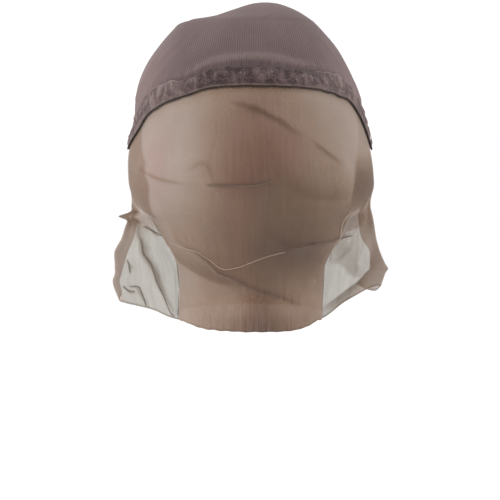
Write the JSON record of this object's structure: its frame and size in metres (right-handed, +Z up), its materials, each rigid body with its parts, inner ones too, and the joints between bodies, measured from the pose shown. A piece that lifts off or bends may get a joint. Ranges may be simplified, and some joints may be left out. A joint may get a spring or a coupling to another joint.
{
  "type": "wig cap",
  "caption": "Wig cap with a domed stretch-mesh crown, a gathered band bound at its edge, and sheer lace panels hanging down the back, sides and front.",
  "frame": {"origin": "where the top of the head sits inside the crown", "axes": "+Z up, +Y the way the wearer faces, +X towards the wearer's right; the back of the cap is at -Y"},
  "size_m": [0.188, 0.1895, 0.223],
  "materials": {
    "crown_mesh": "fine ribbed stretch mesh, soft sheen",
    "band_cloth": "gathered stretch cloth, matte",
    "binding_cord": "dark thread, matte",
    "lace": "sheer fine net, matte"
  },
  "bodies": {
    "root": {"crown": "crown_mesh", "crown_band": "band_cloth", "edge_binding": "binding_cord", "back_lace": "lace", "front_lace": "lace"}
  },
  "joints": []
}
